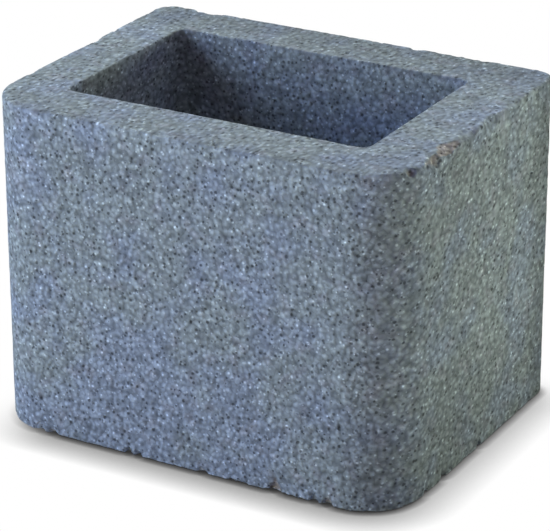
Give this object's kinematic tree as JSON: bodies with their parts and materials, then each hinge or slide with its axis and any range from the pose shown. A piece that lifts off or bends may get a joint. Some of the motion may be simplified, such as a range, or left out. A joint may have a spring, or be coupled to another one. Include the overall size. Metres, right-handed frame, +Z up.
{
  "type": "hollow concrete block",
  "caption": "Free-standing hollow concrete block with one large rectangular cell, two broadly rounded upright corners in front and two tight ones behind.",
  "frame": {"origin": "middle of the footprint, on the ground", "axes": "+X along the length, to the right seen from the front; -Y is the front, the side with the broad corners; +Z up, along the cell"},
  "size_m": [0.4, 0.3, 0.3],
  "materials": {
    "concrete": "matt, fine-grained pressed concrete, open pores and pale and dark grains, unpainted"
  },
  "bodies": {
    "root": {"concrete_block": "concrete"}
  },
  "joints": []
}
